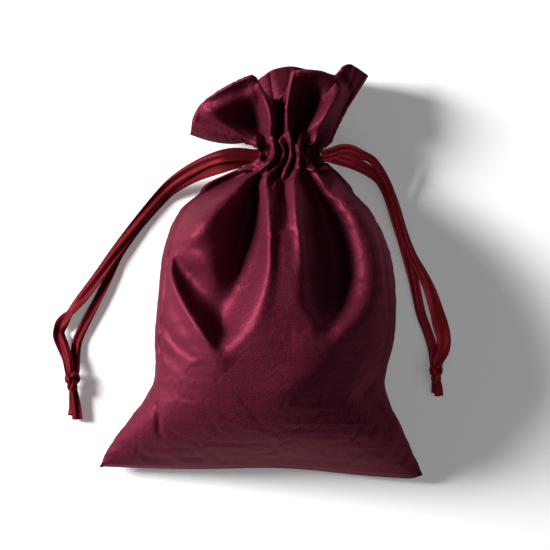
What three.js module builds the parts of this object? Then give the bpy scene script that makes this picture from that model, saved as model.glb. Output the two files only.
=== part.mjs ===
// Satin drawstring gift pouch, filled, drawn closed and lying on its back.
// Millimetres. X runs across the pouch, Y from the bottom seam to the ruffle, Z up.
// The origin is under the middle of the pouch, on the surface that it lies on.

import * as THREE from 'three';

// ---------- driving dimensions ----------

const CLOTH = 1.0;              // thickness of one plain cloth solid
const GAP = 0.3;                // clearance between neighbouring solids
const RIBBON_WIDTH = 5.4;       // satin ribbon, flat inside the casing
const RIBBON_THICK = 0.6;       // one ribbon layer inside the casing
const STRAND_WIDTH = 4.0;       // ribbon outside the casing, a little curled across its width
const STRAND_THICK = 0.9;
const THREAD_RADIUS = 0.25;

const NECK = { x: 8.5, z: 14, halfWidth: 10.5, halfHeight: 8.5 };
const NECK_BOTTOM = 31.5;       // Y where the two panels end and the casing starts
const CASING_TOP = 40;          // Y of the upper casing seam, where the ruffle starts
const RIBBON_Y = 36;            // middle of the ribbons in the casing
const SLIT_HALF = 2.2;          // half the height of the side slits that the ribbons leave by

const LEFT_THROAT = { inner: 0, outer: -4.2 };      // X where each pair of ribbons crosses the slit
const RIGHT_THROAT = { inner: 17, outer: 21.2 };
const FRONT_THROAT_Z = 14.4;    // the front strand of a pair lies over the back strand
const BACK_THROAT_Z = 13.2;

// ---------- colours ----------

const SATIN = { color: 0x5a1830, roughness: 0.42, metalness: 0 };
const FACING = { color: 0x4a1228, roughness: 0.5, metalness: 0 };
const RIBBON = { color: 0x7d1020, roughness: 0.35, metalness: 0 };
const THREAD = { color: 0x451022, roughness: 0.7, metalness: 0 };

const pouch = new THREE.Group();

function addPiece(name, geometry, finish) {
  const mesh = new THREE.Mesh(geometry, new THREE.MeshStandardMaterial(finish));
  mesh.name = name;
  pouch.add(mesh);
  return mesh;
}

// ---------- shared shapes ----------

// A closed thin solid between two surfaces. Each surface takes u and v from 0 to 1.
function shellBetween(outer, inner, stepsU, stepsV) {
  const geometry = new THREE.BoxGeometry(1, 1, 1, stepsU, stepsV, 1);
  const position = geometry.attributes.position;
  for (let i = 0; i < position.count; i++) {
    const surface = position.getZ(i) > 0 ? outer : inner;
    const point = surface(position.getX(i) + 0.5, position.getY(i) + 0.5);
    position.setXYZ(i, point.x, point.y, point.z);
  }
  geometry.computeVertexNormals();
  return geometry;
}

// The same solid for a surface whose u and v run the other way round, so that its faces point out.
function flippedShell(outer, inner, stepsU, stepsV) {
  return shellBetween((u, v) => outer(1 - u, v), (u, v) => inner(1 - u, v), stepsU, stepsV);
}

// A flat closed strip swept along a curve; its width lies across the curve, its thickness upright,
// as long as the curve starts closer to level than to the X or Y direction.
function sweptStrip(curve, width, thickness, steps) {
  const section = new THREE.Shape();
  section.absellipse(0, 0, thickness / 2, width / 2, 0, 2 * Math.PI);
  return new THREE.ExtrudeGeometry(section, { steps, curveSegments: 4, extrudePath: curve });
}

// A point on an ellipse round the neck. Depth is counted inwards from the outer cloth, and turn
// runs from 0 at the right, over the front, to 1 at the left; side is 1 for front, -1 for back.
function neckPoint(turn, depth, y, side) {
  const halfHeight = NECK.halfHeight - depth;
  const slit = Math.asin(SLIT_HALF / halfHeight);
  const angle = slit + turn * (Math.PI - 2 * slit);
  return new THREE.Vector3(
    NECK.x + (NECK.halfWidth - depth) * Math.cos(angle),
    y,
    NECK.z + side * halfHeight * Math.sin(angle),
  );
}

// Half a ring round the neck, between two depths and two heights.
function neckLayer(depth, thickness, low, high, side, steps) {
  const outer = (u, v) => neckPoint(u, depth, THREE.MathUtils.lerp(low, high, v), side);
  const inner = (u, v) => neckPoint(u, depth + thickness, THREE.MathUtils.lerp(low, high, v), side);
  return side > 0 ? flippedShell(outer, inner, steps, 1) : shellBetween(outer, inner, steps, 1);
}

// ---------- the two body panels ----------

const curveThrough = (rows) => new THREE.CatmullRomCurve3(rows.map((row) => new THREE.Vector3(...row)));

// Lines along the pouch, each from the bottom seam to the neck.
const LEFT_EDGE = curveThrough([
  [-50, -59.4, 4.5], [-46.5, -52.5, 6], [-40, -44, 10], [-32.6, -33, 15], [-32.4, -20, 19],
  [-31.3, -7, 20], [-29.5, 8, 19], [-24, 20.5, 17], [-12.5, 28.5, 15], [-2, NECK_BOTTOM, NECK.z],
]);
const RIGHT_EDGE = curveThrough([
  [50, -63.4, 4.5], [47, -55.5, 6], [43, -46.5, 10], [37.6, -34, 15], [40.5, -21, 19],
  [41.2, -8, 20], [39.5, 6, 19], [33, 20, 17], [25, 28, 15], [19, NECK_BOTTOM, NECK.z],
]);
const CROWN = curveThrough([
  [0, -61.5, 6], [0, -54, 22], [1.5, -45.3, 34], [2.5, -33.5, 42], [4, -20.5, 45.5],
  [5, -7.5, 45], [5, 7, 41.5], [4.5, 20.3, 34], [6.3, 28.3, 27], [NECK.x, NECK_BOTTOM, 22.5],
]);
const SPINE = curveThrough([
  [0, -61.5, 3], [0, -54, 0], [1.5, -45.3, 0], [2.5, -33.5, 0], [4, -20.5, 0],
  [5, -7.5, 0], [5, 7, 0], [4.5, 20.3, 0], [6.3, 28.3, 3], [NECK.x, NECK_BOTTOM, 5.5],
]);
const SEAM_GAP = new THREE.Vector3(0, 0, GAP / 2);

// A section of the pouch: half an ellipse from the right edge over a middle line to the left edge.
// A flatness over 1 makes its middle part flat, as cloth is where it lies on a surface.
function sectionPoint(turn, along, middleLine, inset, power, flatness) {
  const left = LEFT_EDGE.getPoint(along);
  const right = RIGHT_EDGE.getPoint(along);
  const centre = left.clone().add(right).multiplyScalar(0.5);
  const across = right.clone().sub(centre);
  const upward = middleLine.getPoint(along).sub(centre);
  across.setLength(across.length() - inset);
  upward.setLength(upward.length() - inset);
  const angle = turn * Math.PI;
  const rise = Math.min(1, flatness * Math.pow(Math.abs(Math.sin(angle)), power));
  return centre.addScaledVector(across, Math.cos(angle)).addScaledVector(upward, rise);
}

const frontPoint = (turn, along, inset) =>
  sectionPoint(turn, along, CROWN, inset, 0.9, 1).add(SEAM_GAP);

function backPoint(turn, along, inset) {
  const point = sectionPoint(turn, along, SPINE, inset, 0.6, 1.12).sub(SEAM_GAP);
  point.z = Math.max(point.z, inset);
  return point;
}

function addPanels() {
  const front = flippedShell(
    (u, v) => frontPoint(u, v, 0), (u, v) => frontPoint(u, v, CLOTH), 22, 22);
  const back = shellBetween(
    (u, v) => backPoint(u, v, 0), (u, v) => backPoint(u, v, CLOTH), 22, 18);
  addPiece('front_panel', front, SATIN);
  addPiece('back_panel', back, SATIN);
}

// ---------- the seams inside ----------

// The allowance of a side seam: a narrow strip inside the pouch, just behind the seam.
function addSideSeam(name, edge, inward) {
  const strip = (offset) => (u, v) => {
    const point = edge.getPoint(THREE.MathUtils.lerp(0.16, 0.86, v));
    point.x += inward * (CLOTH + 1 + 3.5 * u);
    point.z += offset;
    return point;
  };
  const make = inward > 0 ? shellBetween : flippedShell;
  addPiece(name, make(strip(0.4), strip(-0.4), 1, 16), FACING);
}

function addBottomSeam() {
  const strip = (offset) => (u, v) => new THREE.Vector3(
    THREE.MathUtils.lerp(-32, 36, u),
    THREE.MathUtils.lerp(-57, -54, v) - 1.4 * u,
    8.5 + offset,
  );
  addPiece('bottom_seam_allowance', shellBetween(strip(0.4), strip(-0.4), 8, 1), FACING);
}

// ---------- the casing, with the ribbons that run inside it ----------

const LAYERS = {
  outer: 0,
  leftRibbon: CLOTH + GAP,
  rightRibbon: CLOTH + RIBBON_THICK + 2 * GAP,
  facing: CLOTH + 2 * RIBBON_THICK + 3 * GAP,
};

// A row of stitches, as the one thread that shows on the outside.
function stitchRow(y, side) {
  class Row extends THREE.Curve {
    getPoint(t) {
      return neckPoint(t, -THREAD_RADIUS - GAP, y, side);
    }
  }
  const section = new THREE.Shape();
  section.absarc(0, 0, THREAD_RADIUS, 0, 2 * Math.PI);
  return new THREE.ExtrudeGeometry(section, { steps: 14, curveSegments: 3, extrudePath: new Row() });
}

function addCasing(where, side) {
  const low = RIBBON_Y - RIBBON_WIDTH / 2;
  const high = RIBBON_Y + RIBBON_WIDTH / 2;
  const casing = neckLayer(LAYERS.outer, CLOTH, NECK_BOTTOM + GAP, CASING_TOP, side, 16);
  const facing = neckLayer(LAYERS.facing, CLOTH, NECK_BOTTOM + 2 * GAP, CASING_TOP - GAP, side, 14);
  addPiece(`${where}_casing`, casing, SATIN);
  addPiece(`${where}_casing_facing`, facing, FACING);
  for (const hand of ['left', 'right']) {
    const depth = LAYERS[`${hand}Ribbon`];
    addPiece(`${hand}_ribbon_in_${where}_casing`, neckLayer(depth, RIBBON_THICK, low, high, side, 14), RIBBON);
  }
  addPiece(`${where}_lower_casing_stitches`, stitchRow(NECK_BOTTOM + 1.1, side), THREAD);
  addPiece(`${where}_upper_casing_stitches`, stitchRow(CASING_TOP - 0.8, side), THREAD);
}

// ---------- the ruffle above the casing ----------

// The ruffle's rim, from its right seam to its left seam.
const FRONT_RIM = curveThrough([
  [33, 60, 13], [28, 61.5, 21], [21, 60, 25.5], [13.5, 60.8, 25], [9.5, 60, 19], [4.5, 57, 14.5],
  [0, 58.5, 20], [-6, 57.2, 25], [-13, 54.3, 23], [-19, 49.8, 17.5], [-21.4, 42, 11.6],
]);
const BACK_RIM = curveThrough([
  [33, 60, 11.5], [28.5, 61, 5.5], [21, 61.5, 3.2], [14.5, 62.6, 5.5], [8.5, 63.5, 6.5], [1.5, 60.9, 5],
  [-5, 58.2, 2.6], [-12, 54.5, 2.6], [-18, 49, 5], [-21.4, 42, 9.7],
]);

function ruffleMiddle(rim, side, turn, rise) {
  const foot = neckPoint(turn, CLOTH / 2, CASING_TOP + 3 * GAP, side);
  return foot.lerp(rim.getPoint(turn), Math.pow(rise, 1.15));
}

// A point on one face of the ruffle, offset from its middle surface along the normal.
function rufflePoint(rim, side, turn, rise, offset) {
  const step = 0.01;
  const before = ruffleMiddle(rim, side, Math.max(0, turn - step), rise);
  const after = ruffleMiddle(rim, side, Math.min(1, turn + step), rise);
  const below = ruffleMiddle(rim, side, turn, Math.max(0, rise - step));
  const above = ruffleMiddle(rim, side, turn, Math.min(1, rise + step));
  const normal = above.sub(below).cross(after.sub(before)).multiplyScalar(side).normalize();
  return ruffleMiddle(rim, side, turn, rise).addScaledVector(normal, offset);
}

function addRuffle(name, rim, side) {
  const outer = (u, v) => rufflePoint(rim, side, u, v, 0.4);
  const inner = (u, v) => rufflePoint(rim, side, u, v, -0.4);
  const make = side > 0 ? flippedShell : shellBetween;
  addPiece(name, make(outer, inner, 30, 6), SATIN);
}

// ---------- the ribbons outside the casing ----------

function addThroat(name, throat, z) {
  const path = new THREE.LineCurve3(
    new THREE.Vector3(throat.inner, RIBBON_Y, z),
    new THREE.Vector3(throat.outer, RIBBON_Y, z),
  );
  addPiece(name, sweptStrip(path, STRAND_WIDTH, STRAND_THICK, 2), RIBBON);
}

// Each strand runs from just outside the slit, down to the surface and along it to its knot.
const LEFT_FRONT_ROUTE = [
  [-5.6, 36, 14.4], [-9, 35.8, 14.3], [-12.5, 34.9, 13.9], [-16, 33.5, 11.6], [-20, 31.6, 8.5],
  [-24.2, 29.5, 5.4], [-28, 27.2, 3.4], [-31, 24.2, 2.3], [-36.2, 17.8, 1.95], [-40.9, 11.8, 1.9],
  [-45.5, 5.8, 1.9], [-49.5, 0, 1.9], [-54, -6.2, 1.7], [-58.4, -11.6, 1.4], [-61.6, -15.8, 1.3],
  [-62.4, -18.8, 1.4], [-61, -22.6, 2], [-59.6, -26.2, 3], [-59, -29.4, 3.6],
];
const LEFT_BACK_ROUTE = [
  [-5.6, 36, 13.2], [-9, 35.7, 13.1], [-12.5, 34.6, 12.7], [-16, 33.2, 10.4], [-20, 31.2, 7.2],
  [-24, 29, 4.1], [-27.8, 26.6, 2.1], [-30.8, 23.6, 1.1], [-36, 17.2, 0.75], [-40.6, 11.2, 0.7],
  [-44.2, 5.6, 0.7], [-46.8, -0.4, 0.7], [-49.2, -5.6, 0.7], [-51.8, -10.8, 0.7], [-54.4, -15.8, 0.7],
  [-56.6, -20.8, 0.7], [-57.3, -25.4, 1.3], [-57.4, -29.4, 2.2],
];
const RIGHT_FRONT_ROUTE = [
  [22.6, 36, 14.4], [26, 36.8, 14.3], [29.6, 36.4, 13.8], [33.2, 34.4, 11.2], [36.4, 30.4, 8],
  [38.9, 25.6, 5.2], [40.8, 20.6, 3.4], [42.6, 15.4, 2.6], [44.6, 10, 2.3], [46.8, 5, 2.3],
  [49.4, 0.4, 2.2], [51.6, -4, 2], [53.4, -9.2, 1.7], [55, -14.8, 1.6], [56.2, -19.8, 1.7],
  [56, -23.6, 2.3], [54.6, -26.8, 3.4],
];
const RIGHT_BACK_ROUTE = [
  [22.6, 36, 13.2], [26, 35, 13.1], [29.6, 33.4, 12.4], [33.2, 31.2, 9], [36.4, 28.5, 5.2],
  [38.9, 24.9, 2.6], [40.6, 20.4, 1.5], [42.2, 15.2, 1.1], [43.8, 9.8, 1], [45.4, 4.2, 1],
  [46.9, -1.4, 1], [48.1, -7, 1], [49.4, -12.6, 1], [51.4, -18, 1], [52.8, -22.6, 1.2],
  [53.4, -26.8, 2],
];

function addStrand(name, route) {
  addPiece(name, sweptStrip(curveThrough(route), STRAND_WIDTH, STRAND_THICK, 22), RIBBON);
}

// An overhand knot of both strands, drawn tight.
function addKnot(name, centre, halfSizes) {
  const geometry = new THREE.SphereGeometry(1, 14, 9).scale(...halfSizes);
  addPiece(name, geometry.translate(...centre), RIBBON);
}

function addTail(name, route) {
  addPiece(name, sweptStrip(curveThrough(route), 3.6, STRAND_THICK, 4), RIBBON);
}

addPanels();
addSideSeam('left_side_seam_allowance', LEFT_EDGE, 1);
addSideSeam('right_side_seam_allowance', RIGHT_EDGE, -1);
addBottomSeam();
addCasing('front', 1);
addCasing('back', -1);
addRuffle('front_ruffle', FRONT_RIM, 1);
addRuffle('back_ruffle', BACK_RIM, -1);

addThroat('left_front_throat', LEFT_THROAT, FRONT_THROAT_Z);
addThroat('left_back_throat', LEFT_THROAT, BACK_THROAT_Z);
addThroat('right_front_throat', RIGHT_THROAT, FRONT_THROAT_Z);
addThroat('right_back_throat', RIGHT_THROAT, BACK_THROAT_Z);

addStrand('left_front_strand', LEFT_FRONT_ROUTE);
addStrand('left_back_strand', LEFT_BACK_ROUTE);
addKnot('left_knot', [-58.1, -32.9, 3.2], [2.7, 3.1, 2.8]);
addTail('left_front_tail', [[-57.9, -36.4, 2.6], [-57.3, -39, 2.3], [-56.7, -42, 1.9], [-56.4, -45, 1.8]]);
addTail('left_back_tail', [[-57.5, -36.4, 1.2], [-57.9, -39, 1], [-58.2, -41.6, 0.75], [-58.6, -44, 0.7]]);

addStrand('right_front_strand', RIGHT_FRONT_ROUTE);
addStrand('right_back_strand', RIGHT_BACK_ROUTE);
addKnot('right_knot', [53.9, -30.4, 3.1], [2.3, 3, 2.7]);
addTail('right_front_tail', [[54.1, -33.8, 2.5], [54.5, -35, 2.3], [54.8, -36.4, 2.1], [55, -37.6, 2]]);
addTail('right_back_tail', [[54.1, -33.8, 1.2], [53.8, -35, 1.05], [53.5, -36, 0.9], [53.2, -37, 0.8]]);

export default pouch;
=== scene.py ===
"""A filled satin gift pouch, lying on its back, its ruffled mouth drawn closed by ribbon drawstrings.

Everything is in metres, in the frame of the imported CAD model; lists of points are in millimetres.
"""

import math

import bmesh
import bpy
import numpy as np
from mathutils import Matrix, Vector
from mathutils.bvhtree import BVHTree


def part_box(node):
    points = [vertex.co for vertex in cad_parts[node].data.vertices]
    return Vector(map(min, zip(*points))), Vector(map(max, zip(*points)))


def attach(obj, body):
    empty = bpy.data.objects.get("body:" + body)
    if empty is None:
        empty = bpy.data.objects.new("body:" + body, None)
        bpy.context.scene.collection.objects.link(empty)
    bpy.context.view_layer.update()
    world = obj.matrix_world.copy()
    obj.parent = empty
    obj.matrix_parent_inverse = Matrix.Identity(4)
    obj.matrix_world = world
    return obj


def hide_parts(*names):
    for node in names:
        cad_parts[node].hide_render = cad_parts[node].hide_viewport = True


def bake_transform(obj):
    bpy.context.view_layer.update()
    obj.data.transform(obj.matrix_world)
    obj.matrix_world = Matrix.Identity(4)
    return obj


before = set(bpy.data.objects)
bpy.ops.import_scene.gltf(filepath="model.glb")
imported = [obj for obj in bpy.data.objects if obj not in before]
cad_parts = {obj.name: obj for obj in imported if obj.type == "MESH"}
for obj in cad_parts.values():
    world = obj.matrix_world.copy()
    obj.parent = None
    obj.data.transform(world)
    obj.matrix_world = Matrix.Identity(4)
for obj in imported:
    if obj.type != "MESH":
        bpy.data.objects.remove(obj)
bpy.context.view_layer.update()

MM = 0.001
TAU = 2 * math.pi


def at(row):
    """A point given in millimetres, in metres."""
    return np.array(row, dtype=float) * MM


# ---------- camera ----------

VIEW_CENTRE = at((4.3, -0.5, 15))   # the middle of the picture, halfway up the pouch
VIEW_WIDTH = 167.7 * MM             # what the picture takes in, at that height
CAMERA_HEIGHT = 1.2                 # above that height, so that the view is nearly parallel
SENSOR = 36.0


def add_camera():
    data = bpy.data.cameras.new("camera")
    data.sensor_width = SENSOR
    data.lens = SENSOR * CAMERA_HEIGHT / VIEW_WIDTH
    data.clip_start = 0.05
    data.clip_end = 20
    camera = bpy.data.objects.new("camera", data)
    camera.location = Vector(VIEW_CENTRE) + Vector((0, 0, CAMERA_HEIGHT))
    bpy.context.collection.objects.link(camera)
    bpy.context.scene.camera = camera


add_camera()


# ---------- mesh helpers ----------

SPAN_STEPS = 24                 # points worked out between two given rows of a line


def smooth_line(points, count):
    """count points on a Catmull-Rom curve through the given rows, evenly spaced by length."""
    rows = np.asarray(points, dtype=float)
    padded = np.vstack([2 * rows[0] - rows[1], rows, 2 * rows[-1] - rows[-2]])
    dense = []
    for i in range(len(rows) - 1):
        a, b, c, d = padded[i:i + 4]
        for t in np.linspace(0, 1, SPAN_STEPS, endpoint=False):
            dense.append(0.5 * (2 * b + (c - a) * t + (2 * a - 5 * b + 4 * c - d) * t ** 2
                                + (3 * b - a - 3 * c + d) * t ** 3))
    dense.append(rows[-1])
    dense = np.array(dense)
    steps = np.linalg.norm(np.diff(dense[:, :3], axis=0), axis=1)
    length = np.concatenate([[0], np.cumsum(steps)])
    wanted = np.linspace(0, length[-1], count)
    return np.column_stack([np.interp(wanted, length, dense[:, k]) for k in range(dense.shape[1])])


def smoothstep(low, high, value):
    t = np.clip((value - low) / (high - low), 0, 1)
    return t * t * (3 - 2 * t)


def grid_mesh(name, points, uv, closed_round=False):
    """A sheet through points[row][column], with a UV map in metres of flat cloth."""
    rows, columns = points.shape[:2]
    spans = columns if closed_round else columns - 1
    faces = []
    for r in range(rows - 1):
        for c in range(spans):
            d = (c + 1) % columns
            faces.append((r * columns + c, r * columns + d, (r + 1) * columns + d, (r + 1) * columns + c))
    mesh = bpy.data.meshes.new(name)
    mesh.from_pydata([tuple(p) for p in points.reshape(-1, 3)], [], faces)
    layer = mesh.uv_layers.new(name="flat")
    for polygon in mesh.polygons:
        r, c = divmod(polygon.index, spans)
        corners = ((r, c), (r, c + 1), (r + 1, c + 1), (r + 1, c))
        for loop, (row, column) in zip(polygon.loop_indices, corners):
            layer.data[loop].uv = uv(row, column)
    mesh.polygons.foreach_set("use_smooth", [True] * len(mesh.polygons))
    return add_object(name, mesh)


def add_object(name, data):
    piece = bpy.data.objects.new(name, data)
    bpy.context.collection.objects.link(piece)
    return piece


def apply_modifiers(piece):
    """Bakes the piece's modifiers into its mesh."""
    graph = bpy.context.evaluated_depsgraph_get()
    mesh = bpy.data.meshes.new_from_object(piece.evaluated_get(graph))
    piece.modifiers.clear()
    piece.data = mesh


def thicken(piece, thickness, offset=0.0):
    solid = piece.modifiers.new("thickness", "SOLIDIFY")
    solid.thickness = thickness
    solid.offset = offset
    solid.use_even_offset = False
    apply_modifiers(piece)


SURFACE_GAP = 0.4 * MM          # cloth doesn't sink below this height over the surface


def relax(piece, held, spare, frames):
    """Settles a cloth mesh by simulation, so that fine wrinkles form. held is how firmly each point
    keeps its place, from 0 to 1, and spare is how much more cloth there is than the modelled shape
    takes, as a share."""
    group = piece.vertex_groups.new(name="held")
    for index, weight in enumerate(held):
        group.add([index], float(weight), "REPLACE")
    cloth = piece.modifiers.new("cloth", "CLOTH")
    settings = cloth.settings
    settings.quality = 5
    settings.mass = 0.1
    settings.tension_stiffness = 20
    settings.compression_stiffness = 20
    settings.shear_stiffness = 10
    settings.bending_stiffness = 5
    settings.vertex_group_mass = "held"
    settings.pin_stiffness = 0.6
    settings.shrink_min = -spare
    settings.effector_weights.gravity = 0
    cloth.point_cache.frame_start = 1
    cloth.point_cache.frame_end = frames
    for number in range(1, frames + 1):
        bpy.context.scene.frame_set(number)
    apply_modifiers(piece)
    bpy.context.scene.frame_set(1)
    for vertex in piece.data.vertices:
        vertex.co.z = max(vertex.co.z, SURFACE_GAP)


# ---------- materials ----------

def new_material(name):
    material = bpy.data.materials.new(name)
    material.use_nodes = True
    return material, material.node_tree.nodes, material.node_tree.links


def node(nodes, kind, **values):
    """A new shader node, with its inputs and properties set by name."""
    made = nodes.new(kind)
    for key, value in values.items():
        if key in made.inputs:
            made.inputs[key].default_value = value
        else:
            setattr(made, key, value)
    return made


THREAD_DARK = 0.42              # the weave's darkest and lightest tones, times the colour
THREAD_LIGHT = 1.8
TWILL_ANGLE = math.radians(32)


def satin_material(name, colour, light_colour, roughness, thread, gloss=0.5, bump=0.25, sheen=0.02,
                   diagonal=True):
    """Woven satin: fine twill lines from the flat UV map, slubs, soft mottling and a broad gloss."""
    material, nodes, links = new_material(name)
    shader = nodes["Principled BSDF"]
    shader.inputs["Roughness"].default_value = roughness
    shader.inputs["Metallic"].default_value = gloss
    shader.inputs["Specular IOR Level"].default_value = 0.15
    shader.inputs["Specular Tint"].default_value = (*light_colour, 1)
    shader.inputs["Sheen Weight"].default_value = sheen
    shader.inputs["Sheen Roughness"].default_value = 0.35
    shader.inputs["Sheen Tint"].default_value = (*light_colour, 1)

    coordinates = node(nodes, "ShaderNodeUVMap", uv_map="flat")
    turned = nodes.new("ShaderNodeMapping")
    turned.inputs["Rotation"].default_value = (0, 0, TWILL_ANGLE if diagonal else 0)
    links.new(coordinates.outputs["UV"], turned.inputs["Vector"])
    twill = node(nodes, "ShaderNodeTexWave", Scale=TAU / 20 / (thread * MM))
    twill.inputs["Distortion"].default_value = 1.5
    twill.inputs["Detail"].default_value = 1.0
    links.new(turned.outputs["Vector"], twill.inputs["Vector"])

    slub = node(nodes, "ShaderNodeTexNoise", Scale=2200.0, Detail=2.0, Roughness=0.6)
    links.new(coordinates.outputs["UV"], slub.inputs["Vector"])
    mottle = node(nodes, "ShaderNodeTexNoise", Scale=60.0, Detail=3.0, Roughness=0.55)
    links.new(coordinates.outputs["UV"], mottle.inputs["Vector"])

    weave = node(nodes, "ShaderNodeMath", operation="MULTIPLY_ADD")
    weave.inputs[1].default_value = 0.30
    links.new(twill.outputs["Fac"], weave.inputs[0])
    links.new(slub.outputs["Fac"], weave.inputs[2])

    ramp = nodes.new("ShaderNodeValToRGB")
    ramp.color_ramp.elements[0].position = 0.42
    ramp.color_ramp.elements[1].position = 0.88
    ramp.color_ramp.elements[0].color = (*[c * THREAD_DARK for c in colour], 1)
    ramp.color_ramp.elements[1].color = (*[c * THREAD_LIGHT for c in colour], 1)
    links.new(weave.outputs["Value"], ramp.inputs["Fac"])

    tone = node(nodes, "ShaderNodeMapRange")
    tone.inputs["To Min"].default_value = 0.85
    tone.inputs["To Max"].default_value = 1.15
    links.new(mottle.outputs["Fac"], tone.inputs["Value"])
    mixed = node(nodes, "ShaderNodeVectorMath", operation="SCALE")
    links.new(ramp.outputs["Color"], mixed.inputs[0])
    links.new(tone.outputs["Result"], mixed.inputs["Scale"])
    links.new(mixed.outputs["Vector"], shader.inputs["Base Color"])

    rough = node(nodes, "ShaderNodeMapRange")
    rough.inputs["To Min"].default_value = roughness - 0.06
    rough.inputs["To Max"].default_value = roughness + 0.1
    links.new(slub.outputs["Fac"], rough.inputs["Value"])
    links.new(rough.outputs["Result"], shader.inputs["Roughness"])

    relief = node(nodes, "ShaderNodeBump", Strength=bump, Distance=0.12 * MM)
    links.new(weave.outputs["Value"], relief.inputs["Height"])
    links.new(relief.outputs["Normal"], shader.inputs["Normal"])
    return material


SATIN = satin_material("burgundy_satin", (0.084, 0.0092, 0.0205), (0.75, 0.25, 0.35), 0.52, 0.7)
REVERSE = satin_material("satin_reverse", (0.06, 0.006, 0.015), (0.4, 0.12, 0.18), 0.65, 0.8, gloss=0.1)
RIBBON = satin_material("ribbon_satin", (0.066, 0.0032, 0.0060), (0.9, 0.2, 0.2), 0.48, 0.4, gloss=0.35,
                        diagonal=False)
THREAD = satin_material("sewing_thread", (0.055, 0.005, 0.013), (0.4, 0.12, 0.18), 0.6, 0.15, gloss=0.1)


# ---------- ribbons outside the casing ----------

RIBBON_WIDTH = 5.4 * MM
RIBBON_THICK = 0.22 * MM
THROAT_Y = 36                   # the height of the ribbons' slits, in millimetres
LOWEST_RIBBON = 0.3 * MM        # a ribbon that lies on the surface
RIBBON_STEPS = 18
CREASES = 1.4                   # lengthwise creases across a crumpled ribbon
CREASE_HEIGHT = 0.20 * MM
CREASE_DRIFT = 9 * MM           # how far along the ribbon a crease takes to wander by a radian
CREASE_TAKEUP = 0.24            # how much narrower the creases make it
ARCH_HEIGHT = 0.22 * MM

# The routes of the four free strands, from inside the side slit to the knot, in millimetres.
LEFT_FRONT_ROUTE = [
    (0.2, 36, 14.4), (-2.6, 36, 14.4), (-5.6, 36.3, 14.8), (-9, 36.2, 15.0), (-12.5, 35.6, 14.6),
    (-16, 34.5, 12.4), (-20, 32.6, 9.2), (-24.2, 30.1, 6), (-28, 27.2, 3.6), (-31, 24.2, 2.3),
    (-36.2, 17.8, 1.95), (-40.9, 11.8, 1.9), (-45.5, 5.8, 1.9), (-49.5, 0, 1.9), (-54, -6.2, 1.7),
    (-58.4, -11.6, 1.4), (-61.6, -15.8, 1.3), (-62.4, -18.8, 1.4), (-61, -22.6, 2), (-59.6, -26.2, 3),
    (-59, -29.4, 3.6), (-58.6, -31.5, 3.6),
]
LEFT_BACK_ROUTE = [
    (0.2, 36, 13.2), (-2.6, 35.9, 13.2), (-5.6, 35, 13.6), (-9, 34, 13.9), (-12.5, 33, 13.1),
    (-16, 32, 11), (-20, 30.7, 7.8), (-24, 28.6, 4.5), (-27.8, 26.1, 2.2), (-30.8, 23.2, 1.1),
    (-36, 17.2, 0.75), (-40.6, 11.2, 0.7), (-44.2, 5.6, 0.7), (-46.8, -0.4, 0.7), (-49.2, -5.6, 0.7),
    (-51.8, -10.8, 0.7), (-54.4, -15.8, 0.7), (-56.6, -20.8, 0.7), (-57.3, -25.4, 1.3),
    (-57.4, -29.4, 2.2), (-57.7, -31.5, 2.6),
]
RIGHT_FRONT_ROUTE = [
    (18.4, 36, 14.4), (20.4, 36.2, 14.4), (22.6, 36.9, 14.5), (25, 37.7, 14.6), (27.6, 37.6, 14.4),
    (30.7, 36.3, 13.4), (33.8, 34.8, 11.4), (36.2, 31.9, 8.8), (38.4, 28.2, 6.4), (40, 24.4, 4.6),
    (41.4, 20.4, 3.4), (42.8, 15.4, 2.6),
    (44.6, 10, 2.3), (46.8, 5, 2.3), (49.4, 0.4, 2.2), (51.6, -4, 2), (53.4, -9.2, 1.7),
    (55, -14.8, 1.6), (56.2, -19.8, 1.7), (56, -23.6, 2.3), (54.6, -26.8, 3.4), (54.2, -28.8, 3.5),
]
RIGHT_BACK_ROUTE = [
    (18.4, 36, 13.2), (20.4, 35.9, 13.2), (22.6, 35.3, 13.2), (25, 34.7, 13.2), (27.6, 34, 12.8),
    (30.7, 32.7, 10.8), (33.8, 30.9, 7.6), (36.2, 28.9, 5), (38.2, 26, 3), (39.7, 22.8, 2),
    (40.9, 19.2, 1.4), (42.2, 14.8, 1.1),
    (43.8, 9.8, 1), (45.4, 4.2, 1), (46.9, -1.4, 1), (48.1, -7, 1), (49.4, -12.6, 1), (51.4, -18, 1),
    (52.8, -22.6, 1.2), (53.4, -26.8, 2), (53.6, -28.8, 2.5),
]


def strip_points(path, crumple, roll):
    """Rows across a ribbon that follows path. crumple is how far it is creased lengthwise, from 0 to 1,
    and roll how far it leans over in radians, with one value for each point of the path."""
    tangents = np.gradient(path, axis=0)
    tangents /= np.linalg.norm(tangents, axis=1)[:, None]
    upward = np.array((0, 0, 1.0))
    across_share = np.linspace(-0.5, 0.5, RIBBON_STEPS + 1)
    travelled = np.concatenate([[0], np.cumsum(np.linalg.norm(np.diff(path, axis=0), axis=1))])
    rows = []
    for point, tangent, crease, lean, along in zip(path, tangents, crumple, roll, travelled):
        side = np.cross(upward, tangent)
        side /= np.linalg.norm(side)
        over = np.cross(tangent, side)
        across = side * math.cos(lean) + over * math.sin(lean)
        out = over * math.cos(lean) - side * math.sin(lean)
        phase = along / CREASE_DRIFT
        wave = np.cos(TAU * CREASES * across_share + phase) * CREASE_HEIGHT * crease
        dome = ARCH_HEIGHT * (1 - (2 * across_share) ** 2) * (0.4 + 0.6 * crease)
        width = RIBBON_WIDTH * (1 - CREASE_TAKEUP * crease)
        rows.append(point + across * (width * across_share)[:, None] + out * (wave + dome)[:, None])
    points = np.array(rows)
    points[..., 2] = np.maximum(points[..., 2], LOWEST_RIBBON)
    return points


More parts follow.
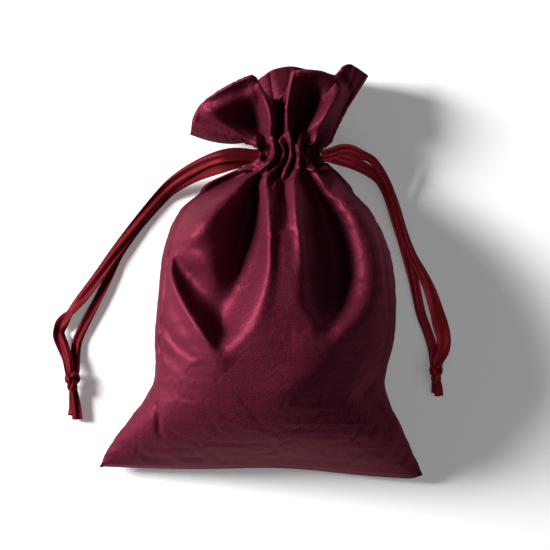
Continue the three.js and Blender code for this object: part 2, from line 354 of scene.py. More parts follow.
def ribbon_strip(name, path, crumple, roll):
    """A ribbon of satin with closed edges, along path."""
    points = strip_points(path, crumple, roll)
    step = np.linalg.norm(path[1] - path[0])
    piece = grid_mesh(name, points, lambda r, c: (c / RIBBON_STEPS * RIBBON_WIDTH, r * step))
    thicken(piece, RIBBON_THICK)
    piece.data.materials.append(RIBBON)
    return piece


def spread(stops, count):
    """Values along a ribbon from (share of the length, value) stops."""
    shares, values = zip(*stops)
    return np.interp(np.linspace(0, 1, count), shares, values)


STRAND_STEPS = 150
STRANDS = {
    "left_front_strand": dict(
        route=LEFT_FRONT_ROUTE, side="left", nodes=("left_front_strand", "left_front_throat"),
        crumple=[(0, 1.2), (0.05, 1.1), (0.09, 0.9), (0.16, 1.4), (0.24, 1.4), (0.38, 1.3), (0.6, 1.5),
                 (0.8, 1.1), (0.93, 1.3), (1, 1.9)],
        roll=[(0, 0.15), (0.2, 0.1), (0.35, -0.3), (0.6, 0.15), (0.74, 0.4), (0.80, 1.0), (0.86, -0.4),
              (0.93, 0.5), (1, 0.2)]),
    "left_back_strand": dict(
        route=LEFT_BACK_ROUTE, side="left", nodes=("left_back_strand", "left_back_throat"),
        crumple=[(0, 1.2), (0.05, 1.1), (0.08, 0.3), (0.22, 0.2), (0.36, 1.2), (0.5, 1.7), (0.9, 1.9),
                 (1, 1.9)],
        roll=[(0, 0), (0.3, 0), (0.6, 0.35), (0.9, 0.3), (1, 0)]),
    "right_front_strand": dict(
        route=RIGHT_FRONT_ROUTE, side="right", nodes=("right_front_strand", "right_front_throat"),
        crumple=[(0, 1.2), (0.06, 1.3), (0.1, 1.6), (0.18, 2.4), (0.3, 2.2), (0.6, 1.7), (0.70, 1.3),
                 (0.84, 0.1), (0.93, 0.9), (1, 1.9)],
        roll=[(0, 0), (0.3, -0.5), (0.45, 0.1), (0.6, -0.3), (0.8, -0.5), (0.92, -0.2), (1, 0.2)]),
    "right_back_strand": dict(
        route=RIGHT_BACK_ROUTE, side="right", nodes=("right_back_strand", "right_back_throat"),
        crumple=[(0, 1.2), (0.06, 1.1), (0.1, 1.0), (0.18, 1.3), (0.28, 2.0), (0.4, 1.7), (0.6, 1.7),
                 (0.85, 1.9), (1, 2.0)],
        roll=[(0, 0), (0.3, 0.2), (0.7, 0.1), (1, 0)]),
}


def add_strand(name, plan):
    path = smooth_line(at(plan["route"]), STRAND_STEPS)
    piece = ribbon_strip(name + "_ribbon", path, spread(plan["crumple"], STRAND_STEPS),
                         spread(plan["roll"], STRAND_STEPS))
    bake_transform(piece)
    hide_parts(*plan["nodes"])
    length = float(np.linalg.norm(np.diff(path, axis=0), axis=1).sum())
    return piece, path, length


KNOT_DRAWN_IN = np.array((0.95, 1.25, 0.95))     # a tight knot against the round form of the CAD
KNOT_BAND = 1.15 * MM           # half the width of its folded ribbon
KNOT_FLAT = 0.6 * MM            # and half its thickness
KNOT_STEPS = 120
KNOT_SPOKES = 16


def loop_mesh(name, points, across, flat):
    """A closed loop of tube along points, across wide and flat thick each way from its middle."""
    count = len(points)
    ahead = np.roll(points, -1, axis=0) - np.roll(points, 1, axis=0)
    ahead /= np.linalg.norm(ahead, axis=1)[:, None]
    middle = points.mean(axis=0)
    out = points - middle
    out -= ahead * np.sum(out * ahead, axis=1)[:, None]
    out /= np.linalg.norm(out, axis=1)[:, None]
    side = np.cross(ahead, out)
    turns = np.arange(KNOT_SPOKES) * TAU / KNOT_SPOKES
    rows = []
    for k in range(count + 1):
        i = k % count
        sideways = side[i] * np.cos(turns)[:, None] * across
        outward = out[i] * np.sin(turns)[:, None] * flat
        rows.append(points[i] + sideways + outward)
    tube = grid_mesh(name, np.array(rows), lambda r, c: (c * 0.4 * MM, r * 0.3 * MM), True)
    close_ends(tube)
    return tube


def add_knot(side):
    """An overhand knot drawn tight: one turn of ribbon that passes over and under itself three times."""
    low, high = (np.array(c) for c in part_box(f"{side}_knot"))
    middle = (low + high) / 2
    half = (high - low) / 2 * KNOT_DRAWN_IN
    turns = np.linspace(0, TAU, KNOT_STEPS, endpoint=False)
    loop = np.column_stack([
        (np.sin(turns) + 2 * np.sin(2 * turns)) / 3,
        (np.cos(turns) - 2 * np.cos(2 * turns)) / 3,
        -np.sin(3 * turns) * 0.75])
    points = middle + loop * (half - 0.7 * KNOT_BAND)
    knot = loop_mesh(f"{side}_knot_ribbon", points, KNOT_BAND, KNOT_FLAT)
    knot.data.materials.append(RIBBON)
    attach(knot, f"{side}_ribbon")
    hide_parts(f"{side}_knot")
    return knot


def close_ends(piece):
    """Merges the points that meet at the ends of a round form, so that it is closed."""
    bm = bmesh.new()
    bm.from_mesh(piece.data)
    bmesh.ops.remove_doubles(bm, verts=bm.verts, dist=0.001 * MM)
    bmesh.ops.recalc_face_normals(bm, faces=bm.faces)
    bm.to_mesh(piece.data)
    bm.free()


TAILS = {
    "left_front_tail": [(-58.1, -34.5, 3.4), (-57.6, -37.5, 2.8), (-57.0, -41, 2.1), (-56.6, -45.0, 1.6)],
    "left_back_tail": [(-57.9, -34.5, 2.0), (-57.8, -38, 1.3), (-57.7, -41.4, 0.8), (-57.9, -43.9, 0.6)],
    "right_front_tail": [(53.9, -32.4, 3.2), (54.3, -34.2, 2.6), (54.6, -36, 2.1), (54.8, -37.8, 1.8)],
    "right_back_tail": [(53.9, -32.4, 1.9), (54.0, -34.2, 1.4), (54.0, -35.8, 1.0), (53.9, -37, 0.8)],
}


TAIL_STEPS = 24


def add_tail(name, route):
    path = smooth_line(at(route), TAIL_STEPS)
    loosened = 2.0 if name.startswith("right") else 1.5
    crumple = spread([(0, 2.4), (0.4, 2.0), (1, loosened)], TAIL_STEPS)
    lean = 0.25 if "front" in name else -0.25
    piece = ribbon_strip(name + "_ribbon", path, crumple, spread([(0, 0), (1, lean)], TAIL_STEPS))
    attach(piece, name.split("_")[0] + "_ribbon")
    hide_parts(name)
    return piece


def add_ribbons():
    on_cord = {}
    for side in ("left", "right"):
        on_cord[side] = [add_knot(side)]
    for name, route in TAILS.items():
        on_cord[name.split("_")[0]].append(add_tail(name, route))
    for name, plan in STRANDS.items():
        piece, path, length = add_strand(name, plan)


add_ribbons()


# ---------- the shape of the body, read from the CAD panels ----------

COLUMNS = 320                   # round the whole pouch; half of them on the front
HALF = COLUMNS // 2
BODY_ROWS = 120
NECK_LOW, NECK_HIGH = (np.array(c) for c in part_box("front_casing"))
CASING_BACK = np.array(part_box("back_casing")[0])
NECK_CENTRE = np.array((
    (NECK_LOW[0] + NECK_HIGH[0]) / 2, 0, (CASING_BACK[2] + NECK_HIGH[2]) / 2))
NECK_HALF = np.array(((NECK_HIGH[0] - NECK_LOW[0]) / 2, 0, (NECK_HIGH[2] - CASING_BACK[2]) / 2))
NECK_Y = NECK_LOW[1] - 0.3 * MM
CASING_TOP = NECK_HIGH[1]
LEAN_REACH = 45 * MM            # how far up the pouch the slope of its bottom edge is still felt
SEAM_SEARCH = 30 * MM           # the seams are looked for up to this height
SEAM_X = 42 * MM                # roughly where they are


def cad_tree(*names):
    """A search tree of the given CAD nodes, to cast rays at."""
    bm = bmesh.new()
    for name in names:
        bm.from_mesh(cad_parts[name].data)
    tree = BVHTree.FromBMesh(bm)
    bm.free()
    return tree


def edge_rows():
    """For each row of the body: its two seam points, its crown height and its lowest height."""
    tree = cad_tree("front_panel", "back_panel")
    corners = np.array([v.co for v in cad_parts["front_panel"].data.vertices])
    left_corner = corners[corners[:, 0].argmin()]
    right_corner = corners[corners[:, 0].argmax()]
    slope = (right_corner[1] - left_corner[1]) / (right_corner[0] - left_corner[0])
    bottom = left_corner[1] - slope * left_corner[0]
    rows = []
    for y in np.linspace(bottom + 0.6 * MM, NECK_Y, BODY_ROWS):
        lean = slope * (1 - smoothstep(bottom, bottom + LEAN_REACH, y))
        ends = []
        for side in (-1, 1):
            best = None
            for z in np.linspace(0.4 * MM, SEAM_SEARCH, 75):
                guess = side * SEAM_X
                start = Vector((side * 0.2, y + lean * guess, z))
                hit = tree.ray_cast(start, Vector((-side, 0, 0)))[0]
                if hit is not None and (best is None or side * hit.x > side * best[0]):
                    best = (hit.x, y + lean * guess, z)
            ends.append(best)
        middle = (ends[0][0] + ends[1][0]) / 2
        row_y = y + lean * middle
        top = tree.ray_cast(Vector((middle, row_y, 0.2)), Vector((0, 0, -1)))[0]
        under = tree.ray_cast(Vector((middle, row_y, -0.2)), Vector((0, 0, 1)))[0]
        rows.append((*ends[0], *ends[1], top.z, under.z))
    rows = np.array(rows)
    rows[0] = (*left_corner, *right_corner, right_corner[2], right_corner[2])
    kernel = np.array((1, 2, 3, 2, 1)) / 9
    for k in range(rows.shape[1]):
        padded = np.pad(rows[:, k], 2, mode="edge")
        rows[2:-2, k] = np.convolve(padded, kernel, mode="valid")[2:-2]
    return rows


# ---------- pleats where the drawstrings gather the cloth ----------

# Pleat crests round the front of the neck, as X in millimetres from left to right.
FRONT_CRESTS = (-1.95, -1.0, 3.7, 6.2, 8.6, 11.0, 14.4, 17.6, 18.9)
BACK_PLEATS = 9
PLEAT_DEPTH = 3.0 * MM


def column_angles():
    """Angle of each column round the neck: 180 to 0 degrees over the front, then on to the back."""
    front = math.pi * (1 - np.arange(HALF) / HALF)
    back = -math.pi * np.arange(HALF) / HALF
    return np.concatenate([front, back])


ANGLES = column_angles()
IS_FRONT = np.arange(COLUMNS) < HALF


def pleat_depths():
    """How far each column lies in from the pleat crests, from 0 to 1."""
    crest_angles = [
        math.acos(np.clip((x * MM - NECK_CENTRE[0]) / NECK_HALF[0], -1, 1)) for x in FRONT_CRESTS]
    depth = np.zeros(COLUMNS)
    count = np.interp(-ANGLES[:HALF], [-a for a in crest_angles], np.arange(len(crest_angles)))
    depth[:HALF] = 0.5 - 0.5 * np.cos(TAU * count)
    turn = np.arange(HALF) / HALF
    depth[HALF:] = 0.5 - 0.5 * np.cos(TAU * BACK_PLEATS * turn)
    return depth


PLEATS = pleat_depths()


WAIST_Y = 36.5 * MM             # where the drawstrings hold the neck tightest
WAIST_X = 9.15 * MM
WAIST_HALF = at((9.7, 0, 8.2))


# How much further out the neck is at the foot and at the top of the casing than at its waist: to the
# left, down, and in half width and half height.
WIDER_BELOW = dict(left=1.75 * MM, down=0.6 * MM, width=5.7 * MM, height=2.6 * MM)
WIDER_ABOVE = dict(left=0.5 * MM, down=0, width=3.4 * MM, height=0.8 * MM)
WAIST_CURVE = 1.6


def neck_shape(y):
    """Centre and half sizes of the neck at one height: it widens above and below its waist."""
    below = max(0, (WAIST_Y - y) / (WAIST_Y - NECK_Y)) ** WAIST_CURVE
    above = max(0, (y - WAIST_Y) / (CASING_TOP - WAIST_Y)) ** WAIST_CURVE
    wider = {key: WIDER_BELOW[key] * below + WIDER_ABOVE[key] * above for key in WIDER_BELOW}
    centre = (WAIST_X - wider["left"], NECK_CENTRE[2] - wider["down"])
    half = (WAIST_HALF[0] + wider["width"], WAIST_HALF[2] + wider["height"])
    return centre, half


def neck_ring(y, depth, pleat_depth=PLEAT_DEPTH):
    """The columns round the neck at one height, depth in from the outer cloth."""
    centre, half = neck_shape(y)
    inset = depth + pleat_depth * PLEATS
    x = centre[0] + (half[0] - inset) * np.cos(ANGLES)
    z = centre[1] + (half[1] - inset) * np.sin(ANGLES)
    return np.column_stack([x, np.full(COLUMNS, y), z])


# ---------- folds pressed into the cloth ----------

# Each fold runs along a line of (x, y, width, height) in millimetres: a ridge where height is over
# zero, a valley where it is under.
BODY_FOLDS = {
    "left valley": [(-0.4, 30.5, 1.4, -2), (-2, 23, 3.0, -7), (-4.2, 14, 5.5, -11), (-5.5, 5, 6.6, -12),
                    (-7.5, -4, 6.4, -10.5), (-10, -13, 5, -7), (-12, -21, 2.5, -1.5)],
    "left valley arm": [(-25.4, 6, 2.6, -1), (-23.4, 2, 3.8, -4), (-19.8, -3, 5, -6.5), (-16, -9, 5, -6.5),
                        (-13, -15.5, 4, -4)],
    "left pillow": [(-5, 28, 1.8, 1.5), (-11, 22, 3.5, 4), (-16.5, 16, 5, 5), (-20.4, 12, 4.4, 4),
                    (-24.4, 10, 3, 1), (-27, 9, 2.4, 0)],
    "left ridge": [(-28.4, 8, 1.6, 0.8), (-27, 0, 1.8, 2.4), (-23.6, -8, 2, 3.2), (-18, -17, 2.2, 3.2),
                   (-13.5, -23.5, 2.6, 2), (-9, -28, 4, 0)],
    "left seam": [(-15.6, 26.4, 0.6, 0), (-22, 20.4, 0.7, -1.2), (-26.2, 12, 0.7, -1.6),
                  (-27.8, 4, 0.7, -1.6), (-28.8, -6, 0.7, -1.6), (-30, -16, 0.7, -1.6),
                  (-30.6, -26, 0.7, -1.2)],
    "right seam": [(27, 25, 0.6, 0), (33.4, 17, 0.7, -0.5), (36.4, 8, 0.7, -0.6), (38, -4, 0.7, -0.6),
                   (38.6, -16, 0.7, -0.6), (36.4, -26, 0.7, -0.5)],
    "middle ridge": [(1.8, 31, 0.9, 1.2), (2.0, 22, 1.5, 3.4), (2.4, 10, 1.8, 4), (2, 0, 2.2, 3),
                     (-0.6, -9, 3.4, 2), (-5, -18, 5, 0)],
    "narrow valley": [(5.8, 31, 0.9, -2.4), (6.2, 24, 1.6, -4), (6.8, 18, 1.8, -2.8), (7, 12, 2, 0)],
    "right ridge": [(9.8, 31, 1, 1), (10.6, 20, 1.6, 2.6), (12.4, 8, 2, 2.4), (12.6, -3, 3, 1),
                    (11, -12, 4, 0)],
    "right valley": [(14.2, 30, 1.6, -2.5), (17, 23, 3.6, -7.5), (20, 14, 6, -11.2), (22, 5, 7, -12.4),
                     (22, -3, 6.9, -12.4), (21, -10, 5.4, -8.6), (20, -16, 2.6, -2)],
    "right rim": [(30, 14, 5, 0.3), (34, 5, 5.5, 0.6), (34.4, -4, 5.5, 0.7), (31, -13, 4.4, 1.1),
                  (24, -20, 3.6, 1.5), (14, -21, 4, 0.9)],
    "right shoulder": [(12.5, 31.5, 1.2, 1), (19, 28, 2.2, 2), (27, 20, 3, 1.5), (32, 11, 3, 0)],
    "shoulder valley": [(-3, 31, 1.2, -2), (-9, 28.4, 2, -5.5), (-17, 24.4, 2.3, -6.5),
                        (-23.5, 19.4, 2.2, -5), (-27.5, 12, 1.8, -2.6), (-29, 5, 1.5, -0.5)],
    "left dent": [(-31.5, -21, 1.8, -2), (-28, -24.5, 2.2, -2.2), (-22, -28, 2.4, 0)],
    "left side fold": [(-31, -11, 1.3, -0.5), (-28.5, -17, 1.5, -2), (-24, -22.5, 1.8, -1.4),
                       (-19, -26, 1.6, 0)],
    "pinch": [(-31.5, -40, 0.7, -0.8), (-31, -45, 0.7, -1.2), (-31, -50, 0.8, 0)],
    "right dent": [(28, -35, 3, 0), (34, -40, 3, -3), (39.5, -44.5, 2.5, -2.6)],
    "right side fold": [(38, -24, 2, 0), (36.6, -30, 2, -1.6), (32, -34, 2.6, -1.2), (27, -40, 3, 0)],
    "belly ridge": [(26, -22, 4, 0), (18, -28, 6, 1.5), (8, -36, 7, 2), (-2, -43, 7, 0.5)],
}
MOUTH_FOLDS = {
    "scallop": [(-1.4, 41, 0.7, 1.5), (-1.2, 37.5, 0.8, 2.2), (-0.4, 34.4, 0.9, 2.8), (1.6, 33.2, 0.9, 3),
                (3.4, 34.6, 0.8, 2.6), (3.9, 37.5, 0.7, 2), (4.0, 41, 0.7, 1.2)],
    "scallop hollow": [(1.3, 42, 1.1, -2.5), (1.3, 39, 1.1, -4.5), (1.4, 36.4, 0.9, -4.5)],
    "slant ridge": [(9.4, 40.5, 0.7, 1.5), (11.4, 37.2, 0.9, 2.6), (13.6, 34.6, 0.8, 1.6)],
    "right hollow": [(14.4, 41, 1.6, -2), (14.8, 37.4, 1.5, -3.2), (16, 34.4, 1.4, -4), (19, 33.2, 1.2, -2)],
    "right scallop": [(12, 32.4, 0.9, 1.6), (16.2, 31.2, 1.0, 2.4), (20.6, 32.4, 1.0, 1.4)],
    "left lobe crest": [(-18, 48.4, 1.8, 0.5), (-14, 50.0, 2.6, 2.6), (-8, 52, 3.0, 4.0),
                        (-3, 54.0, 2.4, 3.0)],
    "left lobe hollow": [(-9, 48, 2.4, -1), (-5, 48, 2.8, -3), (-1.6, 45.4, 2.2, -3), (0.6, 42.6, 1.2, -2)],
    "left lobe lip": [(-0.6, 56.5, 1.0, 1), (1.6, 50.5, 1.2, 2), (3.4, 45.6, 1.1, 2), (4, 42, 0.9, 1)],
    "tip hollow": [(-19, 45.4, 1.4, -2), (-15.4, 44.4, 1.8, -2.4), (-10, 42.6, 1.6, -1)],
    "tip ridge": [(-19.4, 50.2, 0.8, 0.6), (-20, 46.6, 0.8, 1.6), (-20.8, 42.6, 0.7, 1)],
    "right lobe edge": [(9.6, 60.6, 0.7, 0.8), (8.2, 52, 0.7, 1.6), (7.9, 44, 0.7, 1)],
    "right lobe hollow": [(13.4, 57.6, 2.2, -1.6), (12.2, 51, 2.4, -3), (11, 45, 1.5, -2)],
    "right lobe patch": [(13, 42.6, 1.3, 1.2), (17.4, 46, 2, 2.8), (21.6, 50.4, 2.4, 2.8),
                         (25.6, 56, 1.8, 0.8)],
    "right tip hollow": [(24.6, 60.2, 1.2, -2), (26.8, 55, 1.4, -2), (24.4, 49.6, 1.4, -1)],
}


def fold_heights(points, folds):
    """How far each point is raised by all the folds together, seen from above."""
    plan = points[:, :2] / MM
    height = np.zeros(len(plan))
    for line in folds.values():
        path = smooth_line([(x, y, 0, w, h) for x, y, w, h in line], 160)
        gaps = np.hypot(plan[:, :1] - path[None, :, 0], plan[:, 1:] - path[None, :, 1])
        nearest = gaps.argmin(axis=1)
        distance = gaps[np.arange(len(plan)), nearest]
        width = path[nearest, 3]
        height += path[nearest, 4] * np.exp(-(distance / np.maximum(width, 0.3)) ** 2)
    return height * MM


SEAM_PULL = 0.9 * MM            # how far the side seams draw the cloth in
SEAM_PULL_REACH = 0.06          # and over how much of the section, as the sine of its angle
PUCKER_LENGTH = 1.1 * MM        # the puckers along them repeat about every 7 mm
BOTTOM_RISE = 1.7 * MM          # the bottom edge bows up a little, most at this X
BOTTOM_RISE_X = 7 * MM
BOTTOM_RISE_REACH = 22 * MM
BOTTOM_REACH = 14 * MM          # how far up the bottom edge's shape is felt
CORNER_RADIUS = 5 * MM          # the right corner is rounded
FRONT_FULLNESS = 0.9            # powers of the sine that round off the front and the flatter back
BACK_FULLNESS = 0.6
PLEATS_FROM = 12 * MM           # the heights at which the neck's pleats and its section take over
NECK_FROM = 24 * MM
EDGE_FADE = 2.2                 # how fast folds grow from the side seams inwards


def body_points():
    """The body, from the bottom seam to the neck, as rows of columns round the pouch."""
    rows = []
    sines = np.abs(np.sin(ANGLES))
    seam_pull = SEAM_PULL * np.exp(-(sines / SEAM_PULL_REACH) ** 2)
    edges = edge_rows()
    bottom = (edges[0, 1] + edges[0, 4]) / 2
    for left_x, left_y, left_z, right_x, right_y, right_z, top, under in edges:
        share = (np.cos(ANGLES) + 1) / 2
        x = left_x + (right_x - left_x) * share
        y = left_y + (right_y - left_y) * share
        seam = left_z + (right_z - left_z) * share
        front = seam + (top - seam) * sines ** FRONT_FULLNESS
        back = seam - (seam - under) * np.minimum(1, 1.12 * sines ** BACK_FULLNESS)
        z = np.where(IS_FRONT, front, back)
        height = (left_y + right_y) / 2
        x = x - seam_pull * np.sign(np.cos(ANGLES)) * (1 + 0.5 * math.sin(height / PUCKER_LENGTH))
        near_bottom = 1 - smoothstep(bottom, bottom + BOTTOM_REACH, height)
        y = y + near_bottom * BOTTOM_RISE * np.exp(-((x - BOTTOM_RISE_X) / BOTTOM_RISE_REACH) ** 2)
        corner = np.clip((x - right_x + CORNER_RADIUS) / CORNER_RADIUS, 0, 1)
        y = y + near_bottom ** 3 * CORNER_RADIUS * 0.35 * corner ** 2
        row = np.column_stack([x, y, z])
        inset = PLEAT_DEPTH * PLEATS * smoothstep(PLEATS_FROM, NECK_Y, height) ** 2
        row[:, 0] -= inset * np.cos(ANGLES)
        row[:, 2] -= inset * np.sin(ANGLES)
        drawn = smoothstep(NECK_FROM, NECK_Y, height)
        rows.append(row * (1 - drawn) + neck_ring(height, 0) * drawn)
    points = np.array(rows)
    flat = points.reshape(-1, 3)
    front = np.tile(IS_FRONT, BODY_ROWS)
    fade = np.clip(np.tile(sines, BODY_ROWS) * EDGE_FADE, 0, 1)
    lift = fold_heights(flat[front], BODY_FOLDS)
    flat[front, 2] += lift * fade[front]
    return points


FLAT_WIDTH = 100 * MM
BODY_FLAT_HEIGHT = 120 * MM
HEADER_FLAT_HEIGHT = 30 * MM
CLOTH_THICK = 0.35 * MM
BODY_HELD = 0.3                 # how firmly the body keeps its modelled shape while it settles,
BODY_SPARE = 0.012              # how much spare cloth it has,
BODY_FRAMES = 14                # and for how many frames


def flat_uv(rows, height, offset):
    """The flat UV map of a sheet that goes all round the pouch."""
    return lambda r, c: (c / COLUMNS * 2 * FLAT_WIDTH, offset + r / (rows - 1) * height)


def add_body():
    points = body_points()
    body = grid_mesh("body_cloth", points, flat_uv(BODY_ROWS, BODY_FLAT_HEIGHT, 0), True)
    hold = np.full((BODY_ROWS, COLUMNS), BODY_HELD)
    hold[:3] = 1                # the bottom seam
    hold[-3:] = 1               # the foot of the casing
    relax(body, hold.ravel(), BODY_SPARE, BODY_FRAMES)
    thicken(body, CLOTH_THICK, -1)
    body.data.materials.append(SATIN)
    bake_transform(body)
    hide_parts("front_panel", "back_panel")


# ---------- the casing and the ruffle ----------

# The ruffle's rim and, after it, the line halfway up the ruffle. Each row is where that part grows
# out of the neck, as X, and then the point itself, in millimetres.
FRONT_RIM = [
    (-1.99, -21.6, 41.2, 10), (-1.7, -21.2, 46, 14), (-1.1, -18.8, 51.0, 17), (-0.4, -14.8, 53.7, 20),
    (0.8, -8.5, 57, 23.5), (2.2, -2.3, 59.6, 24.5), (3.0, -0.7, 58.2, 21), (3.8, 1.5, 55, 15),
    (5.0, 5, 53, 9), (6.4, 8, 57, 14), (7.4, 9.5, 61.0, 24), (8.8, 13, 61.0, 26.5),
    (10.8, 18, 60.6, 25), (13.6, 22.9, 59.8, 22), (15.8, 26.3, 63.4, 19), (17.4, 28.8, 62.9, 17),
    (18.99, 33.3, 60.0, 12.5),
]
BACK_RIM = [
    (18.99, 33.3, 60.0, 12.5), (18.4, 31, 60.5, 8), (17, 25, 60.5, 4.5), (14.6, 18, 61.6, 4.5),
    (12.6, 13.8, 62.6, 6), (10.4, 9.2, 63.5, 8), (8, 4, 62.6, 8), (5.8, 1, 60.8, 7),
    (3.4, -4, 57, 4), (1.2, -11, 53, 2.4), (-0.6, -17, 48, 3.6), (-1.5, -20.5, 43.4, 6.5),
    (-1.99, -21.6, 41.2, 10),
]
FRONT_MIDDLE = [
    (-1.99, -12, 39.2, 10), (-1.7, -14, 42.6, 15.5), (-1.1, -12.8, 46, 18), (-0.4, -9.5, 48.0, 15.5),
    (0.8, -4.6, 48.6, 13.5), (2.2, 0.2, 49.4, 18.5), (3.0, 2.8, 49.2, 22), (3.8, 4.6, 48, 16),
    (5.0, 6, 47, 7.5), (6.4, 7.1, 48.6, 13), (7.4, 7.5, 50, 23.5), (8.8, 9.8, 50, 21.5),
    (10.8, 13.4, 49.4, 16), (13.6, 17.4, 48.6, 19.5), (15.8, 21, 48.4, 22), (17.4, 23.6, 48.4, 18),
    (18.99, 26, 49, 12),
]
BACK_MIDDLE = [
    (18.99, 26, 49, 12), (18.4, 25.5, 49.5, 9), (17, 22, 50, 6.5), (14.6, 17, 51, 5.5),
    (12.6, 13, 51.5, 6), (10.4, 9.5, 52, 6.5), (8, 5.8, 51.5, 6), (5.8, 3.4, 50, 5.5),
    (3.4, 0, 48, 4.5), (1.2, -5.5, 46, 3.8), (-0.6, -10, 43.5, 4.5), (-1.5, -11.8, 41, 7),
    (-1.99, -12, 39.2, 10),
]
CASING_ROWS = 16
RUFFLE_ROWS = 56
HEADER_THICK = 0.9 * MM         # two layers of cloth
SLIT_REACH = 14                 # columns to each side of a seam that the ribbon slit takes up
SLIT_HALF = 2.6 * MM
RIPPLE = 0.12 * MM              # the rim isn't quite even
RIPPLES_ROUND = (23, 37)
HEADER_HELD = 0.35              # the same three for the ruffle
HEADER_SPARE = 0.02
HEADER_FRAMES = 12


def ruffle_line(front, back):
    """A line round the ruffle, with a point for every column, matched to the neck by its feet."""
    found = np.zeros((COLUMNS, 3))
    for rim, side in ((front, 1), (back, -1)):
        line = smooth_line(np.array([(x, y, z, foot) for foot, x, y, z in rim]), 500)
        feet = np.clip((line[:, 3] * MM - NECK_CENTRE[0]) / NECK_HALF[0], -1, 1)
        around = np.arccos(feet) * side
        chosen = IS_FRONT if side > 0 else ~IS_FRONT
        order = np.argsort(around)
        for axis in range(3):
            found[chosen, axis] = np.interp(ANGLES[chosen], around[order], line[order, axis]) * MM
    return found


def header_points():
    rows = [neck_ring(y, 0) for y in np.linspace(NECK_Y, CASING_TOP, CASING_ROWS)]
    rim = ruffle_line(FRONT_RIM, BACK_RIM)
    middle = ruffle_line(FRONT_MIDDLE, BACK_MIDDLE)
    foot = neck_ring(CASING_TOP, 0, 0)
    pleat_in = rows[-1] - foot
    turns = np.arange(COLUMNS) * TAU / COLUMNS
    ripple = np.sin(turns * RIPPLES_ROUND[0]) + 0.6 * np.sin(turns * RIPPLES_ROUND[1] + 1)
    for share in np.linspace(0, 1, RUFFLE_ROWS + 1)[1:]:
        row = foot * (2 * share - 1) * (share - 1)
        row += middle * 4 * share * (1 - share)
        row += rim * share * (2 * share - 1)
        row += pleat_in * (1 - share) ** 1.5
        row[:, 2] += RIPPLE * ripple * share
        rows.append(row)
    points = np.array(rows)
    flat = points.reshape(-1, 3)
    front = np.tile(IS_FRONT, len(rows))
    sines = np.tile(np.abs(np.sin(ANGLES)), len(rows))
    lift = fold_heights(flat[front], MOUTH_FOLDS)
    flat[front, 2] += lift * np.clip(sines[front] * EDGE_FADE, 0, 1)
    return points


def cut_slits(piece, points):
    """Opens the two side slits that the ribbons leave by."""
    y = points[:, 0, 1]
    middle = THROAT_Y * MM
    slit_rows = [r for r in range(len(y) - 1) if y[r] > middle - SLIT_HALF and y[r + 1] < middle + SLIT_HALF]
    bm = bmesh.new()
    bm.from_mesh(piece.data)
    bm.faces.ensure_lookup_table()
    doomed = []
    for r in slit_rows:
        for seam in (0, HALF):
            for c in range(seam - SLIT_REACH, seam + SLIT_REACH):
                doomed.append(bm.faces[r * COLUMNS + c % COLUMNS])
    bmesh.ops.delete(bm, geom=doomed, context="FACES")
    bm.to_mesh(piece.data)
    bm.free()


def blend_at_mouth(piece):
    """Bakes the piece's transform into its mesh."""
    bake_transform(piece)


def add_header():
    points = header_points()
    count = len(points)
    header = grid_mesh("casing_and_ruffle_cloth", points,
                       flat_uv(count, HEADER_FLAT_HEIGHT, BODY_FLAT_HEIGHT), True)
    hold = np.full((count, COLUMNS), HEADER_HELD)
    hold[:CASING_ROWS] = 1
    relax(header, hold.ravel(), HEADER_SPARE, HEADER_FRAMES)
    cut_slits(header, points)
    thicken(header, HEADER_THICK, -1)
    header.data.materials.append(SATIN)
    blend_at_mouth(header)
    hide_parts("front_casing", "back_casing", "front_ruffle", "back_ruffle")


NECK_LAYER_ROWS = 12
FACING_DEPTH = 2.6 * MM         # how far the layers lie inside the outer cloth
LEFT_RUN_DEPTH = 1.25 * MM
RIGHT_RUN_DEPTH = 1.85 * MM
RUN_HALF_WIDTH = 2.6            # in millimetres, as THROAT_Y


def add_neck_layer(name, low, high, depth, thickness, material, replaced):
    """A ring of cloth or ribbon inside the casing, depth in from its outside and pleated with it."""
    points = np.array([neck_ring(y, depth) for y in np.linspace(low, high, NECK_LAYER_ROWS)])
    ring = grid_mesh(name, points, flat_uv(NECK_LAYER_ROWS, high - low, BODY_FLAT_HEIGHT), True)
    cut_slits(ring, points)
    thicken(ring, thickness, -1)
    ring.data.materials.append(material)
    blend_at_mouth(ring)
    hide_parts(*replaced)


def add_neck_layers():
    add_neck_layer("casing_facing_cloth", NECK_Y, CASING_TOP, FACING_DEPTH, CLOTH_THICK, REVERSE,
                   ("front_casing_facing", "back_casing_facing"))
    low = (THROAT_Y - RUN_HALF_WIDTH) * MM
    high = (THROAT_Y + RUN_HALF_WIDTH) * MM
    for side, depth in (("left", LEFT_RUN_DEPTH), ("right", RIGHT_RUN_DEPTH)):
        add_neck_layer(f"{side}_ribbon_run", low, high, depth, RIBBON_THICK, RIBBON,
                       (f"{side}_ribbon_in_front_casing", f"{side}_ribbon_in_back_casing"))


STITCH_RADIUS = 0.16 * MM
STITCH_STEP = 4                 # columns from one stitch to the next
STITCH_SPAN = 2.7               # columns that one stitch covers
STITCH_PROUD = 0.05 * MM
STITCH_SPOKES = 6
STITCH_INSET = 0.8 * MM         # from the casing's edges to the rows of stitches


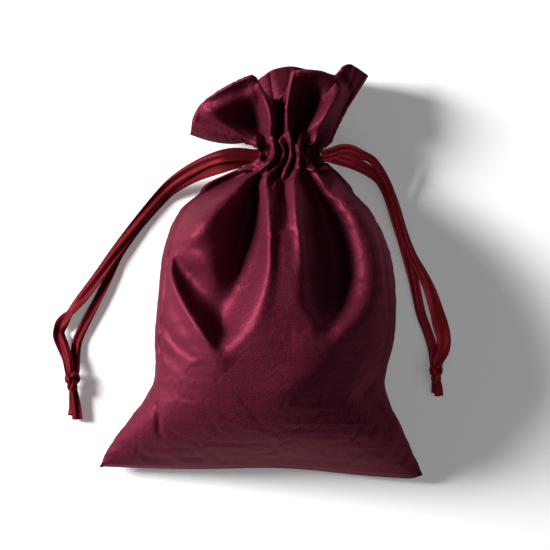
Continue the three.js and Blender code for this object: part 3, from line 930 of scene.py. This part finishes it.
def add_stitch_row(name, y, replaced):
    """A row of short straight stitches with rounded ends, sunk in the casing, round the whole neck."""
    ring = neck_ring(y, -STITCH_PROUD)
    closed = np.vstack([ring, ring[:1]])
    columns = np.arange(COLUMNS + 1)
    bm = bmesh.new()
    uv = bm.loops.layers.uv.new("flat")
    for first in range(0, COLUMNS, STITCH_STEP):
        rings = []
        for share in np.linspace(0, 1, 5):
            column = first + STITCH_SPAN * share
            centre = np.array([np.interp(column, columns, closed[:, k]) for k in range(3)])
            radius = STITCH_RADIUS * math.sqrt(max(0.15, math.sin(math.pi * (0.1 + 0.8 * share))))
            angle = np.interp(column, columns, np.append(ANGLES, -math.pi))
            outward = np.array((math.cos(angle), 0, math.sin(angle)))
            spokes = []
            for turn in np.linspace(0, TAU, STITCH_SPOKES, endpoint=False):
                offset = outward * math.cos(turn) + np.array((0, 1, 0)) * math.sin(turn)
                spokes.append(bm.verts.new(centre + offset * radius))
            rings.append(spokes)
        for near, far in zip(rings, rings[1:]):
            for k in range(STITCH_SPOKES):
                after = (k + 1) % STITCH_SPOKES
                face = bm.faces.new((near[k], near[after], far[after], far[k]))
                for loop in face.loops:
                    loop[uv].uv = (loop.vert.co.x, loop.vert.co.y)
        bm.faces.new(rings[0])
        bm.faces.new(rings[-1])
    bmesh.ops.recalc_face_normals(bm, faces=bm.faces)
    mesh = bpy.data.meshes.new(name)
    bm.to_mesh(mesh)
    bm.free()
    row = add_object(name, mesh)
    row.data.materials.append(THREAD)
    blend_at_mouth(row)
    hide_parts(*replaced)


add_body()
add_header()
add_neck_layers()
add_stitch_row("lower_stitches", NECK_Y + STITCH_INSET,
               ("front_lower_casing_stitches", "back_lower_casing_stitches"))
add_stitch_row("upper_stitches", CASING_TOP - STITCH_INSET,
               ("front_upper_casing_stitches", "back_upper_casing_stitches"))


# ---------- pieces kept from the CAD model ----------

for name in ("left_side_seam_allowance", "right_side_seam_allowance", "bottom_seam_allowance"):
    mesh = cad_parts[name].data
    mesh.materials.clear()
    mesh.materials.append(REVERSE)


# ---------- floor and light ----------

FLOOR_SIZE = 6
FLOOR_Z = -0.2 * MM             # just under the pouch, so that the two don't share a plane
AIM = (0, 0, 0.015)             # the lamps point at the middle of the pouch


def add_floor():
    bpy.ops.mesh.primitive_plane_add(size=FLOOR_SIZE, location=(0, 0, FLOOR_Z))
    floor = bpy.context.object
    floor.name = "floor"
    material, nodes, links = new_material("pale_floor")
    shader = nodes["Principled BSDF"]
    shader.inputs["Base Color"].default_value = (0.9, 0.9, 0.9, 1)
    shader.inputs["Emission Color"].default_value = (1, 1, 1, 1)
    shader.inputs["Emission Strength"].default_value = 0.16
    shader.inputs["Roughness"].default_value = 0.9
    shader.inputs["Specular IOR Level"].default_value = 0.1
    floor.data.materials.append(material)


def add_area_light(name, position, size, power):
    data = bpy.data.lights.new(name, "AREA")
    data.size = size
    data.energy = power
    light = bpy.data.objects.new(name, data)
    light.location = position
    light.rotation_euler = (Vector(AIM) - Vector(position)).to_track_quat("-Z", "Y").to_euler()
    bpy.context.collection.objects.link(light)
    return light


def light_only(lamp, names):
    """Keeps a lamp to the named pieces."""
    lit = bpy.data.collections.new(lamp.name + "_pieces")
    for name in names:
        lit.objects.link(bpy.data.objects[name])
    lamp.light_linking.receiver_collection = lit


def add_lights():
    add_area_light("window", (-0.78, 0.22, 0.43), 0.30, 22)
    add_area_light("fill", (0.55, -0.25, 0.80), 0.9, 1.2)
    lamp = add_area_light("right_ribbon_lamp", (0.10, -0.02, 0.60), 0.15, 3.0)
    parts = ("front_strand", "back_strand", "knot", "front_tail", "back_tail")
    light_only(lamp, [f"right_{part}_ribbon" for part in parts])
    world = bpy.data.worlds.new("studio")
    world.use_nodes = True
    world.node_tree.nodes["Background"].inputs["Color"].default_value = (1, 1, 1, 1)
    world.node_tree.nodes["Background"].inputs["Strength"].default_value = 0.04
    bpy.context.scene.world = world


add_floor()
add_lights()
bpy.context.scene.view_settings.view_transform = "Standard"
